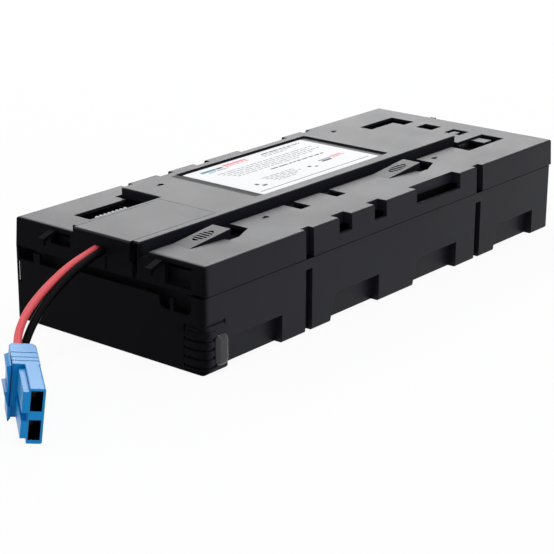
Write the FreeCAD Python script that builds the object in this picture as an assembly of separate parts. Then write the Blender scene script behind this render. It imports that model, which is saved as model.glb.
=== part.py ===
import FreeCAD, Part
import math
import os

# Battery cartridge of a rack-mounted uninterruptible power supply.
# Four sealed batteries lie flat in a row inside a moulded tray with a snapped-on lid.
# Two leads leave the lid at the front and end in a two-pole plug that lies on the table.
# Millimetres.  +X is to the right, +Y runs from the lead end to the far end, +Z is up.
# The origin is on the underside, in the middle of the battery row.

V = FreeCAD.Vector

# ---- batteries, which set the size of everything round them ----
battery_width = 151.0        # along X
battery_depth = 94.0         # along Y, case only
battery_height = 65.0        # along Z, lying flat
battery_corner = 2.5
terminal_gap = 19.0          # between two batteries whose terminals face each other
centre_gap = 8.0             # between the two pairs
case_lid_depth = 13.0        # from the terminal face to the case's welded seam
seam_groove = 0.8
terminal_inset = 13.5        # from the battery's side to the middle of a terminal
terminal_drop = 14.0         # from the battery's upper face to the terminal
well_width = 14.0
well_height = 10.0
well_depth = 2.5
tab_width = 6.35
tab_thickness = 0.8
tab_reach = 6.5              # out of the battery's face
vent_width = 60.0
vent_height = 16.0

# ---- push-on terminals and inner wiring ----
clip_width = 8.0
clip_length = 7.0
clip_height = 3.6
clip_gap = 0.3               # between a clip and the face of its battery
barrel_diameter = 5.0
barrel_length = 8.0
lead_diameter = 5.5
jumper_diameter = 4.5
wire_gap = 0.3               # under a wire that lies on a battery
jumper_reach = 12.0          # from the barrel's end to the far side of a jumper's loop
jumper_lane = 14.0           # from the barrel's end to the long jumper's lane
riser_bend = 4.0             # tight bends of the inner wires, in the gaps between the batteries

# ---- shell ----
wall = 2.5
floor_thickness = 2.5
side_clearance = 3.0         # battery to the wall behind a side pocket
end_clearance = 3.5          # battery to the end wall
headroom = 5.0               # battery to the lid's underside
corner_radius = 3.0
inner_corner = 1.0
bottom_radius = 1.5
parting_height = 54.4        # top of the tray's rim
front_step = 2.0             # the tray's front wall stands this far before the lid
front_wall_height = 48.5
lip_height = 3.0
lip_root = 4.0
lip_thickness = 1.2
lip_clearance = 0.3
stop_height = 12.0
stop_thickness = 2.0
stop_clearance = 0.3
stop_margin = 15.0

# ---- pockets along the tray's lower edges ----
pocket_length = 54.0
pocket_height = 20.5
pocket_depth = 7.0
pocket_slant = 5.0
pocket_corner = 6.0

# ---- grooves in both sides, between the batteries of a pair ----
tray_groove_width = 7.5
lid_groove_width = 9.0
groove_depth = 5.0
tray_groove_top = 46.0

# ---- openings in the tray's front ----
left_slot_start = 37.0               # from the middle, to the left
left_slot_margin = 4.0               # from the slot's far end to the tray's side
left_slot_bottom = 45.5
left_post_offset = 66.0
left_post_width = 6.0
left_post_height = 7.0
right_slot_start = 50.0              # from the middle, to the right
right_slot_margin = 10.0
right_slot_bottom = 40.0
right_slot_corner = 5.0
right_post_offset = 61.0
right_post_width = 3.0
right_post_height = 9.0
corner_slit_bottom = 28.0
corner_slit_height = 16.0
corner_slit_width = 4.2
corner_post_width = 2.0

# ---- ribbed grip on the front right corner ----
grip_width = 15.2
grip_length = 21.0
grip_bottom = 3.0
grip_height = 31.0
grip_proud = 3.0
grip_border = 1.5            # sunk border round the grip
grip_sink = 1.2              # depth of the border
grip_corner = 9.0
grip_top_radius = 7.0
grip_band = 11.0             # smooth band behind the ribs
grip_ribs = 5
grip_groove = 2.2
grip_groove_depth = 1.2

# ---- lid ----
lid_top = 2.5
skirt_flare = 0.8            # the lid's skirt widens by this much down to the parting line
lid_corner_radius = 2.0
lid_edge_radius = 1.6
plateau_rise = 5.4
plateau_edge_radius = 0.8
strip_half_width = 31.0
strip_rear_margin = 59.0     # from the lid's rear face to the end of the raised strip
plateau_left = 69.5          # from the middle to the left edge of the wide plateau
plateau_front_margin = 88.0  # from the lid's front to the wide plateau
plateau_rear_margin = 85.5
channel_width = 7.0
channel_depth = 4.8
channel_skin = 1.7
channel_wall = 2.0
window_depth = 8.0           # from the lid's side to the curtain wall inside a window
window_sill = 63.2
curtain_bottom = 66.5
small_window_length = 15.0
small_window_centres = (-66.3, -24.2)
large_window_length = 58.5
large_window_centre = 50.8

# ---- label ----
recess_left = 63.0
recess_right = 21.5
recess_length = 156.0
recess_depth = 1.5
label_margin_side = 2.6
label_margin_front = 5.0
label_margin_rear = 8.5
label_thickness = 0.25
label_corner = 1.5

# ---- slots through the lid's top ----
front_slot_left = 59.0       # the long leg's outer edge, from the middle
front_slot_right = 33.5
front_slot_margin = 28.5     # from the lid's front to the slot
front_slot_hook = 7.0        # length along Y of the wider end beside the plateau
rear_slot_left = 58.0
rear_slot_width = 12.0
rear_slot_length = 50.5
rear_slot_foot = 11.5
rear_slot_foot_length = 14.7
rear_margin = 22.5           # from the lid's rear face to the rear openings
square_hole = (-22.5, -6.5)
notch_hole = (6.0, 21.4)
rear_hole_length = 14.5
notch_tongue_width = 6.0
notch_tongue_length = 8.0
latch_hole = (34.0, 55.5)
latch_hole_length = 52.0
latch_tab_width = 14.0
latch_tab_length = 11.0
latch_tab_drop = 1.5
latch_tab_margin = 7.0
cross_slot_length = 11.5
cross_slot_reach = 54.0
cross_slot_shift = -2.0      # each slot sits a little before the small window beside it

# ---- sprung tongues ----
tongue_margin = 23.0         # from the lid's front to the first tongue's root
tongue_pitch = 226.0
tongue_length = 42.0
tongue_width = 16.0
tongue_start = 38.5
tongue_rise = 4.0
tongue_thickness = 2.0
tongue_slot_gap = 18.5       # open slot beyond the tip
tongue_side_gap = 1.4
tongue_pocket = 7.5          # extra width of the slot beside the tip
oval_length = 20.0
oval_width = 9.0
oval_depth = 0.8
oval_ribs = 5
oval_rib = 1.6
oval_from_tip = 19.0

# ---- dimples left by the moulding gates, beside the grooves ----
dimple_diameter = 3.2
dimple_depth = 0.6
dimple_left = -53.0
dimple_right = 47.0

# ---- front of the lid ----
hook_width = 5.5
hook_reach = 12.0
hook_drop = 5.6
hook_thickness = 2.4
hook_leg = 5.0
hook_centres = (-50.5, 49.5)
left_window = (34.0, 47.0)   # distances from the middle
left_window_bottom = 63.0
right_window_start = 54.0
right_window_margin = 11.0   # from the window to the lid's side
right_window_bottom = 57.5
front_window_top = 72.0
face_slot_width = 1.2
face_slot_x = 0.0
face_gap = (24.8, 29.0)      # deep gap between the apron and the strip's right side wall
face_gap_depth = 12.0
face_gap_roof = 2.0
face_top = 66.0              # top of the lid's front wall behind the apron
rear_nub = (-33.0, -28.0)
rear_nub_height = 5.0
rear_nub_reach = 1.8
rear_rib = (30.0, 80.0)
rear_rib_height = 14.0
rear_rib_reach = 1.2

# ---- wire cover ----
cover_length = 84.0          # from the lid's front to the seam
cover_left = 27.5            # the lid's strip keeps a rail on each side of the cover
cover_right = 25.0
cover_thickness = 2.0
cover_seam = 0.3
cover_edge_radius = 1.6
apron_clearance = 1.0        # between the lid's front wall and the apron
cover_apron_bottom = 66.0
cover_opening_margin = 4.0   # from the cover's side to the opening under it
rail_ribs = 8                # small ribs on the strip's left side, beside the cover
rail_rib_pitch = 4.5
rail_rib_reach = 1.0
rail_rib_margin = 25.3
exit_clearance = 0.4
exit_drop = 2.0              # the leads sink by this much between the first battery and the apron

# ---- free leads: bends between the apron and the plug, with y counted from the apron's face ----
red_exit_x = -7.0
black_exit_x = -0.9
exit_run = 10.0              # straight run out of the apron
plug_run = 5.0               # straight run into the plug
red_bends = [
    (-7.6, -26.0, 62.0), (-8.0, -46.0, 52.6), (-6.0, -64.5, 42.8), (-0.5, -77.5, 34.2), (7.0, -86.2, 28.4)]
black_bends = [
    (-2.3, -25.0, 60.6), (-3.2, -45.0, 49.2), (-1.0, -63.0, 37.2), (2.6, -75.0, 26.4), (6.0, -82.2, 17.8),
    (9.2, -86.9, 13.6)]

# ---- two-pole plug, in its own frame: u forward, v to the left, z up ----
plug_turn = -38.7            # degrees from +X
plug_x = 18.5
plug_reach = 97.9            # from the apron's face to the back of the plug
plug_length = 76.0
plug_height = 35.0
plug_width = 17.0
block_length = 36.0          # the thick rear block
block_chamfer = (4.0, 2.0)   # along u and along v
block_line_offsets = (16.0, 24.0, 30.0)
block_line_width = 0.8
block_line_depth = 0.5
column_width = 9.4           # full-height front column that holds the sockets
column_edge_radius = 1.2
socket_width = 7.2
socket_height = 12.8
socket_side_wall = 1.5
socket_depth = 30.0
socket_floor = 2.3
socket_roof = 1.5
key_reach = 4.0              # the key blocks' reach beyond the column
key_start = 38.0
key_spans = ((3.3, 14.2), (19.5, 32.8))
lever_start = 16.0
lever_end = 38.0
lever_toe = 2.1              # the lever reaches this far below the block and tips the plug over
lever_offset = 0.8           # from the block's side to the lever's outer root
lever_gap = 0.7
lever_root_height = 7.0
barb_reach = 2.9
barb_tips = (17.0, 33.5)
red_entry = (-1.8, 25.5)     # v and z of the lead's middle at the back of the plug
black_entry = (2.4, 9.0)
contact_width = 5.2
contact_height = 9.0
contact_length = 12.0
contact_tongue = 1.6

# ---- sizes that follow ----
inner_half_length = centre_gap / 2 + battery_depth + terminal_gap + battery_depth + end_clearance
half_length = inner_half_length + wall
half_width = battery_width / 2 + side_clearance + wall + pocket_depth
battery_top = floor_thickness + battery_height
lid_inside = battery_top + headroom
lid_height = lid_inside + lid_top
plateau_height = lid_height + plateau_rise
pair_gap_y = centre_gap / 2 + battery_depth + terminal_gap / 2
tray_front = -half_length - front_step
terminal_x = battery_width / 2 - terminal_inset
terminal_z = battery_top - terminal_drop
channel_start = strip_half_width
channel_end = strip_half_width + channel_width
channel_floor = lid_height - channel_depth
strip_end = half_length - strip_rear_margin
plateau_front = -half_length + plateau_front_margin
plateau_rear = half_length - plateau_rear_margin
seam_y = -half_length + cover_length
apron_face = -half_length - apron_clearance - cover_thickness
inner_lead_z = battery_top + wire_gap + lead_diameter / 2
exit_z = inner_lead_z - exit_drop
plug_y = apron_face - plug_reach
plug_lean = math.degrees(math.atan2(lever_toe, plug_width + lever_offset))

# y of each battery's two ends, and the way its terminals face
battery_rows = [
    (-pair_gap_y - terminal_gap / 2 - battery_depth, 1),
    (-pair_gap_y + terminal_gap / 2, -1),
    (pair_gap_y - terminal_gap / 2 - battery_depth, 1),
    (pair_gap_y + terminal_gap / 2, -1)]

# the leads leave the apron down the slope that they take from the first battery's upper edge
exit_slope = exit_drop / (battery_rows[0][0] - apron_face)


# ---- shared operations ----
def box(x0, x1, y0, y1, z0, z1):
    return Part.makeBox(x1 - x0, y1 - y0, z1 - z0, V(x0, y0, z0))


def joined(shapes):
    return shapes[0].fuse(shapes[1:]).removeSplitter()


def without(shape, cutters):
    return shape.cut(cutters)


def mirrored(shape):
    return shape.mirror(V(0, 0, 0), V(1, 0, 0))


def both_sides(shape):
    return [shape, mirrored(shape)]


def prism(points, direction):
    wire = Part.makePolygon(points + points[:1])
    return Part.Face(wire).extrude(direction)


def prism_x(outline, x0, x1):
    return prism([V(x0, y, z) for y, z in outline], V(x1 - x0, 0, 0))


def prism_y(outline, y0, y1):
    return prism([V(x, y0, z) for x, z in outline], V(0, y1 - y0, 0))


def prism_z(outline, z0, z1):
    return prism([V(x, y, z0) for x, y in outline], V(0, 0, z1 - z0))


def edges_where(shape, test):
    return [edge for edge in shape.Edges if test(edge)]


def along(edge, axis):
    ends = edge.Vertexes
    if len(ends) < 2:
        return False
    span = ends[1].Point.sub(ends[0].Point)
    return abs(abs(span.normalize().dot(axis)) - 1) < 1e-6


def level(edge, z):
    return abs(edge.BoundBox.ZMin - z) < 1e-6 and abs(edge.BoundBox.ZMax - z) < 1e-6


def rounded_rectangle(x0, x1, y0, y1, z, radius):
    s = radius * (1 - math.sqrt(0.5))
    corners = [
        (V(x1 - radius, y0, z), V(x1 - s, y0 + s, z), V(x1, y0 + radius, z)),
        (V(x1, y1 - radius, z), V(x1 - s, y1 - s, z), V(x1 - radius, y1, z)),
        (V(x0 + radius, y1, z), V(x0 + s, y1 - s, z), V(x0, y1 - radius, z)),
        (V(x0, y0 + radius, z), V(x0 + s, y0 + s, z), V(x0 + radius, y0, z))]
    edges = []
    for index, (start, middle, end) in enumerate(corners):
        edges.append(Part.Arc(start, middle, end).toShape())
        edges.append(Part.LineSegment(end, corners[(index + 1) % 4][0]).toShape())
    return Part.Wire(edges)


def rounded_box(x0, x1, y0, y1, z0, z1, radius):
    return Part.Face(rounded_rectangle(x0, x1, y0, y1, z0, radius)).extrude(V(0, 0, z1 - z0))


def lead_path(points, bend_radius=None):
    """Straight runs joined by tangent arcs; a bend takes 0.45 of its shorter run unless a radius is given"""
    corners = [V(*point) for point in points]
    edges = []
    radii = []
    start = corners[0]
    for before, corner, after in zip(corners, corners[1:], corners[2:]):
        back = before.sub(corner)
        ahead = after.sub(corner)
        shorter = min(back.Length, ahead.Length)
        half_turn = (math.pi - back.getAngle(ahead)) / 2
        radius = bend_radius or 0.45 * shorter / math.tan(half_turn)
        reach = radius * math.tan(half_turn)
        back.normalize()
        ahead.normalize()
        bisector = back.add(ahead).normalize()
        entry = corner + back * reach
        leave = corner + ahead * reach
        centre = corner + bisector * (radius / math.cos(half_turn))
        middle = centre - bisector * radius
        edges.append(Part.LineSegment(start, entry).toShape())
        edges.append(Part.Arc(entry, middle, leave).toShape())
        radii.append(radius)
        start = leave
    edges.append(Part.LineSegment(start, corners[-1]).toShape())
    return Part.Wire(edges), radii


def tube(points, diameter, name, bend_radius=None):
    path, radii = lead_path(points, bend_radius)
    start = V(*points[0])
    direction = V(*points[1]).sub(start)
    section = Part.Wire(Part.makeCircle(diameter / 2, start, direction))
    solid = path.makePipeShell([section], True, False)
    expected = math.pi * diameter ** 2 / 4 * path.Length
    print(f"{name}: length {path.Length:.1f}, volume ratio {solid.Volume / expected:.4f}, "
          f"radii {', '.join(f'{radius:.1f}' for radius in radii)}")
    return solid


# ---- tray ----
def side_pocket(centre, grow):
    """Recess in the right-hand side, higher than a finger, with a slanted front edge"""
    front = centre - pocket_length / 2 - grow
    rear = centre + pocket_length / 2 + grow
    top = pocket_height + grow
    below = -2.0
    outline = [(front - pocket_slant, below), (rear, below), (rear, top), (front, top)]
    solid = prism_x(outline, half_width - pocket_depth - grow, half_width + wall)
    corner = edges_where(solid, lambda e: along(e, V(1, 0, 0)) and level(e, top) and
                         e.BoundBox.YMax < centre)
    return solid.makeFillet(pocket_corner + grow, corner)


def side_groove(centre, width, bottom, top, grow):
    half = width / 2 + grow
    return box(half_width - groove_depth - grow, half_width + wall, centre - half, centre + half, bottom, top)


def pocket_set(grow):
    centres = [start + battery_depth / 2 for start, facing in battery_rows]
    return [side for centre in centres for side in both_sides(side_pocket(centre, grow))]


def groove_set(width, bottom, top, grow):
    return [side for centre in (-pair_gap_y, pair_gap_y)
            for side in both_sides(side_groove(centre, width, bottom, top, grow))]


def tray_body():
    body = rounded_box(-half_width, half_width, tray_front, half_length, 0, parting_height, corner_radius)
    body = body.makeFillet(bottom_radius, edges_where(body, lambda e: level(e, 0)))
    cavity = rounded_box(-half_width + wall, half_width - wall, tray_front + wall, half_length - wall,
                         floor_thickness, parting_height + wall, inner_corner)
    cavity = without(cavity, pocket_set(wall) + groove_set(tray_groove_width, 0, tray_groove_top + wall, wall))
    return without(body, [cavity] + pocket_set(0) + groove_set(tray_groove_width, -wall, tray_groove_top, 0))


def rim_lip():
    """Thin lip inside the rim that centres the lid; open at the front and round the grooves"""
    def ring(inset, z0, z1):
        outer = box(-half_width + inset, half_width - inset, -half_length + wall, half_length - inset, z0, z1)
        reach = wall + lip_clearance + lip_thickness
        inner = box(-half_width + reach, half_width - reach, -half_length, half_length - reach, z0, z1)
        return outer.cut(inner)
    root = ring(wall, parting_height - lip_root, parting_height)
    crest = ring(wall + lip_clearance, parting_height, parting_height + lip_height)
    relief = groove_set(lid_groove_width, 0, lid_height, wall + lip_clearance)
    return joined([root, crest]).cut(relief)


def battery_stops():
    """Low ribs on the floor that keep each battery in its place along the tray"""
    half = terminal_x - stop_margin
    stops = []
    for start, facing in battery_rows:
        before = start - stop_clearance - stop_thickness
        behind = start + battery_depth + stop_clearance
        for y in (before, behind):
            stops.append(box(-half, half, y, y + stop_thickness, floor_thickness, floor_thickness + stop_height))
    return stops


def front_openings():
    """Slots in the tray's front wall, and the gap between that wall and the lid"""
    y0 = tray_front - wall
    y1 = tray_front + wall
    far = half_width - left_slot_margin
    outer = half_width - right_slot_margin
    above = parting_height + wall
    rim_gap = box(-far, outer, y0, y1, front_wall_height, above)
    left = box(-far, -left_slot_start, y0, y1, left_slot_bottom, above)
    right = box(right_slot_start, outer, y0, y1, right_slot_bottom, above)
    low_corners = edges_where(right, lambda e: along(e, V(0, 1, 0)) and level(e, right_slot_bottom))
    right = right.makeFillet(right_slot_corner, low_corners)
    slit_x = -half_width + corner_post_width
    slit_top = corner_slit_bottom + corner_slit_height
    slit = box(slit_x, slit_x + corner_slit_width, y0, y1, corner_slit_bottom, slit_top)
    side_slit = box(-half_width - wall, slit_x + corner_slit_width, tray_front + corner_post_width,
                    tray_front + 2 * front_step, corner_slit_bottom, slit_top)
    return [rim_gap, left, right, slit, side_slit]


def front_posts():
    y0 = tray_front
    y1 = tray_front + wall
    left = box(-left_post_offset - left_post_width / 2, -left_post_offset + left_post_width / 2, y0, y1,
               left_slot_bottom, left_slot_bottom + left_post_height)
    right = box(right_post_offset - right_post_width / 2, right_post_offset + right_post_width / 2, y0, y1,
                right_slot_bottom, right_slot_bottom + right_post_height)
    return [left, right]


def grip_blank(grow):
    x1 = half_width + grip_proud + grow
    x0 = half_width - grip_width - grow
    y0 = tray_front - grip_proud * 0.5 - grow
    y1 = tray_front + grip_length + grow
    z1 = grip_bottom + grip_height + grow
    blank = box(x0, x1, y0, y1, grip_bottom - grow, z1)
    corner = edges_where(blank, lambda e: along(e, V(0, 0, 1)) and e.BoundBox.XMin > x1 - 1e-3 and
                         e.BoundBox.YMax < y0 + 1e-3)
    blank = blank.makeFillet(grip_corner, corner)
    top = edges_where(blank, lambda e: level(e, z1) and along(e, V(0, 1, 0)) and e.BoundBox.XMin > x1 - 1e-3)
    return blank.makeFillet(grip_top_radius, top)


def corner_grip():
    """Pad proud of the corner: ribs wrap round its front, a smooth band closes it at the side"""
    blank = grip_blank(0)
    pitch = grip_height / grip_ribs
    core_x = half_width + grip_proud - grip_groove_depth
    core_y = tray_front - grip_proud * 0.5 + grip_groove_depth
    cutters = []
    for index in range(grip_ribs):
        z = grip_bottom + pitch * (index + 0.5) - grip_groove / 2
        slab = box(half_width - grip_width - wall, half_width + 2 * grip_proud, tray_front - 2 * grip_proud,
                   tray_front + grip_length - grip_band, z, z + grip_groove)
        core = box(half_width - 2 * grip_width, core_x, core_y, half_length, z - 1, z + grip_groove + 1)
        inner_corner = edges_where(core, lambda e: along(e, V(0, 0, 1)) and e.BoundBox.XMin > core_x - 1e-3 and
                                   e.BoundBox.YMax < core_y + 1e-3)
        cutters.append(slab.cut(core.makeFillet(grip_corner - grip_groove_depth, inner_corner)))
    inside = box(-half_width, half_width - wall, tray_front + wall, half_length, 0, parting_height)
    return without(blank, cutters + [inside])


def grip_recess():
    """Shallow sunk border round the grip, left in the tray's two walls"""
    inside = box(-half_width, half_width - grip_sink, tray_front + grip_sink, half_length, 0, parting_height)
    return grip_blank(grip_border).cut(inside)


def tray():
    shell = without(tray_body(), front_openings() + [grip_recess()])
    return joined([shell, rim_lip(), corner_grip()] + battery_stops() + front_posts())


# ---- lid ----
def lid_blank():
    flare = skirt_flare
    low = rounded_rectangle(-half_width - flare, half_width + flare, -half_length - flare, half_length + flare,
                            parting_height, lid_corner_radius)
    high = rounded_rectangle(-half_width, half_width, -half_length, half_length, lid_height, lid_corner_radius)
    skirt = Part.makeLoft([low, high], True, True)
    skirt = skirt.makeFillet(lid_edge_radius, edges_where(skirt, lambda e: level(e, lid_height)))
    sunk = lid_height - lid_top / 2
    strip = box(-strip_half_width, strip_half_width, -half_length, strip_end, sunk, plateau_height)
    wide = box(-plateau_left, strip_half_width, plateau_front, plateau_rear, sunk, plateau_height)
    plateau = joined([strip, wide])
    plateau = plateau.makeFillet(plateau_edge_radius, edges_where(plateau, lambda e: level(e, plateau_height)))
    seat = box(-cover_left, cover_right, -half_length - 1, seam_y, lid_height, plateau_height + 1)
    return joined([skirt, plateau] + rail_teeth()).cut(seat)


def rail_teeth():
    """Small upright ribs on the left side of the strip's front end"""
    return [Part.makeCylinder(rail_rib_reach, plateau_rise - plateau_edge_radius,
                              V(-strip_half_width, -half_length + rail_rib_margin + index * rail_rib_pitch, lid_height))
            for index in range(rail_ribs)]


def lid_cavity():
    """Hollow underside; the channel's trough, the window curtains and the groove ribs stay in it"""
    inner = box(-half_width + wall, half_width - wall, -half_length + wall, half_length - wall,
                parting_height - wall, lid_inside)
    roof = plateau_height - lid_top
    strip = box(-strip_half_width + wall, strip_half_width - wall, seam_y, strip_end - wall,
                lid_inside - 1, roof)
    wide = box(-plateau_left + wall, strip_half_width - wall, plateau_front + wall,
               plateau_rear - wall, lid_inside - 1, roof)
    cavity = joined([inner, strip, wide])
    trough = box(channel_start - wall, channel_end + channel_wall, -half_length, strip_end + wall,
                 channel_floor - channel_skin, lid_height)
    curtains = [side for window in window_set(wall) for side in both_sides(window)]
    return without(cavity, [trough] + curtains + groove_set(lid_groove_width, parting_height - wall, lid_height, wall))


def side_window(centre, length, grow):
    half = length / 2 + grow
    bottom = curtain_bottom if grow else window_sill
    return box(half_width - window_depth - grow, half_width + 2 * wall, centre - half, centre + half,
               bottom, lid_height + wall)


def window_set(grow):
    small = [side_window(centre, small_window_length, grow) for centre in small_window_centres]
    return small + [side_window(large_window_centre, large_window_length, grow)]


def channel():
    return box(channel_start, channel_end, -half_length - 2 * wall, strip_end, channel_floor, plateau_height + wall)


def top_slots():
    """Openings through the lid's top face, beside and behind the raised strip"""
    z0 = channel_floor - channel_skin - 1
    z1 = lid_height + 1
    front = -half_length + front_slot_margin
    wide_start = plateau_front
    front_slot = box(-front_slot_left, -front_slot_right, front, wide_start, z0, z1)
    front_hook = box(-plateau_left, -front_slot_left + 1, wide_start - front_slot_hook, wide_start, z0, z1)
    rear = half_length - rear_margin
    leg = box(-rear_slot_left, -rear_slot_left + rear_slot_width, rear - rear_slot_length, rear, z0, z1)
    foot = box(-rear_slot_left, -rear_slot_left + rear_slot_width + rear_slot_foot,
               rear - rear_slot_foot_length, rear, z0, z1)
    square = box(*square_hole, rear - rear_hole_length, rear, z0, z1)
    middle = sum(notch_hole) / 2
    notch = box(*notch_hole, rear - rear_hole_length, rear, z0, z1)
    tongue = box(middle - notch_tongue_width / 2, middle + notch_tongue_width / 2, rear - rear_hole_length - 1,
                 rear - rear_hole_length + notch_tongue_length, z0, z1)
    latch = box(*latch_hole, rear - latch_hole_length, rear, z0, z1)
    cross = [box(channel_end - 1, cross_slot_reach, centre + cross_slot_shift - cross_slot_length / 2,
                 centre + cross_slot_shift + cross_slot_length / 2, z0, z1) for centre in small_window_centres]
    return [front_slot, front_hook, leg, foot, square, notch.cut(tongue), latch] + cross


def latch_tab():
    """Low ledge seen inside the rear right opening"""
    rear = half_length - rear_margin - latch_tab_margin
    z1 = lid_height - latch_tab_drop
    start = latch_hole[0] - wall
    return box(start, start + wall + latch_tab_width, rear - latch_tab_length, rear, z1 - tongue_thickness, z1)


def tongue_roots():
    first = -half_length + tongue_margin
    return [first, first + tongue_pitch]


def tongue_slot(root):
    """U-shaped slot that frees a tongue, wider beside the tip"""
    tip = root + tongue_length
    left = channel_end - 1
    right = tongue_start + tongue_width
    pocket_y = tip - oval_length / 2
    outline = [(left, tip + tongue_slot_gap), (right, tip + tongue_slot_gap),
               (right + tongue_pocket, tip), (right + tongue_pocket, pocket_y),
               (right + tongue_pocket * 0.4, pocket_y), (right + tongue_side_gap * 0.4, root + tongue_side_gap),
               (right, root + tongue_side_gap), (right, tip), (left, tip)]
    return prism_z(outline, channel_floor - channel_skin - 1, lid_height + 1)


def tongue(root):
    """Ramp that rises towards its tip, with an oval of ribs to push on"""
    tip = root + tongue_length
    top = lid_height + tongue_rise
    outline = [(root - 1, lid_height), (root, lid_height), (tip, top), (tip, top - tongue_thickness - tongue_rise / 2),
               (root + 4, lid_height - tongue_thickness), (root - 1, lid_height - tongue_thickness)]
    ramp = prism_x(outline, tongue_start, tongue_start + tongue_width)
    slope = math.atan2(tongue_rise, tongue_length)
    centre = V(tongue_start + tongue_width / 2, tip - oval_from_tip,
               lid_height + tongue_rise * (tongue_length - oval_from_tip) / tongue_length)
    ellipse = Part.Ellipse(V(0, 0, 0), oval_length / 2, oval_width / 2)
    oval = Part.Face(Part.Wire(ellipse.toShape())).extrude(V(0, 0, 3 * oval_depth))
    oval.translate(V(0, 0, -oval_depth))
    pitch = oval_length / (oval_ribs + 1)
    for index in range(oval_ribs):
        x = pitch * (index + 1) - oval_length / 2
        oval = oval.cut(box(x - oval_rib / 2, x + oval_rib / 2, -oval_width, oval_width, -2 * oval_depth, 0))
    oval.rotate(V(0, 0, 0), V(0, 0, 1), 90)
    oval.rotate(V(0, 0, 0), V(1, 0, 0), math.degrees(slope))
    oval.translate(centre)
    return ramp.cut(oval)


def dimples():
    cones = []
    for x, z in ((dimple_left, plateau_height), (dimple_right, lid_height)):
        for y in (-pair_gap_y, pair_gap_y):
            cones.append(Part.makeCone(0, dimple_diameter / 2, dimple_depth, V(x, y, z - dimple_depth)))
    return cones


def front_hook(centre):
    """Sloping finger that reaches forward from the lid's front edge and turns down at its end"""
    root = -half_length + 1
    tip = -half_length - hook_reach
    top = lid_height - lid_edge_radius
    end = lid_height - hook_drop
    outline = [(root, top), (tip, end), (tip, end - hook_leg), (tip + hook_thickness, end - hook_leg),
               (tip + hook_thickness, end - hook_thickness), (root, top - hook_thickness)]
    return prism_x(outline, centre - hook_width / 2, centre + hook_width / 2)


def front_cuts():
    y0 = -half_length - 2 * wall
    y1 = -half_length + wall + 1
    right_end = half_width - right_window_margin
    left = -cover_left + cover_opening_margin
    right = cover_right - cover_opening_margin
    return [box(-left_window[1] - hook_width, -left_window[0], y0, y1, left_window_bottom, front_window_top),
            box(right_window_start, right_end, y0, y1, right_window_bottom, front_window_top),
            box(left, right, y0, y1, face_top, lid_height + 1),
            box(face_slot_x, face_slot_x + face_slot_width, y0, y1, parting_height - 1, face_top + 1),
            box(*face_gap, y0, y1, parting_height - 1, plateau_height - face_gap_roof),
            box(*face_gap, y0, -half_length + face_gap_depth, lid_inside - 1, plateau_height - face_gap_roof),
            box(left, right, y0, seam_y, lid_inside - 1, lid_height + 1)]


def label_recess():
    half = recess_length / 2
    return rounded_box(-recess_left, recess_right, -half, half, plateau_height - recess_depth,
                       plateau_height + 1, label_corner)


def rear_details():
    y0 = half_length - 1
    nub = box(*rear_nub, y0, half_length + rear_nub_reach, lid_height - rear_nub_height, lid_height)
    rib = box(*rear_rib, y0, half_length + rear_rib_reach, lid_height - rear_rib_height,
              lid_height - lid_edge_radius)
    return [nub, rib]


def lid():
    shell = without(lid_blank(), [lid_cavity(), channel()])
    windows = [side for window in window_set(0) for side in both_sides(window)]
    slots = top_slots() + [tongue_slot(root) for root in tongue_roots()]
    grooves = groove_set(lid_groove_width, parting_height - wall, lid_height + 1, 0)
    shell = without(shell, windows + slots + grooves + front_cuts() + [label_recess()] + dimples())
    added = [tongue(root) for root in tongue_roots()] + [front_hook(centre) for centre in hook_centres]
    return joined([shell, latch_tab()] + added + rear_details())


def lead_notch():
    """Notch in the apron's lower edge, round at the top and sloping with the leads"""
    radius = lead_diameter / 2 + exit_clearance
    reach = cover_thickness + 2
    start = apron_face - 1
    z = exit_z - exit_slope
    ends = [Part.makeCylinder(radius, reach, V(x, start, z), V(0, 1, exit_slope)) for x in (red_exit_x, black_exit_x)]
    x0 = red_exit_x - radius
    x1 = black_exit_x + radius
    under = prism_x([(start, z), (start + reach, z + reach * exit_slope), (start + reach, cover_apron_bottom - wall),
                     (start, cover_apron_bottom - wall)], x0, x1)
    middle = prism_x([(start, z), (start, z + radius), (start + reach, z + radius + reach * exit_slope),
                      (start + reach, z + reach * exit_slope)], red_exit_x, black_exit_x)
    return ends + [under, middle]


def wire_cover():
    """Removable panel between the strip's rails; its apron closes the front over the two leads"""
    left = -cover_left + cover_seam
    right = cover_right - cover_seam
    front = -half_length - apron_clearance
    rear = seam_y - cover_seam
    under = plateau_height - cover_thickness
    top = box(left, right, apron_face, rear, under, plateau_height)
    apron = box(left, right, apron_face, front, cover_apron_bottom, plateau_height)
    panel = joined([top, apron])
    panel = panel.makeFillet(cover_edge_radius, edges_where(panel, lambda e: level(e, plateau_height) and
                                                            e.BoundBox.YMax < apron_face + 1))
    sides = [box(x, x + cover_thickness, -half_length, rear, lid_height, under) for x in (left, right - cover_thickness)]
    return joined([panel] + sides).cut(lead_notch())


def label():
    start = -recess_length / 2 + label_margin_front
    end = recess_length / 2 - label_margin_rear
    z = plateau_height - recess_depth
    return rounded_box(-recess_left + label_margin_side, recess_right - label_margin_side, start, end,
                       z, z + label_thickness, label_corner)


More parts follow.
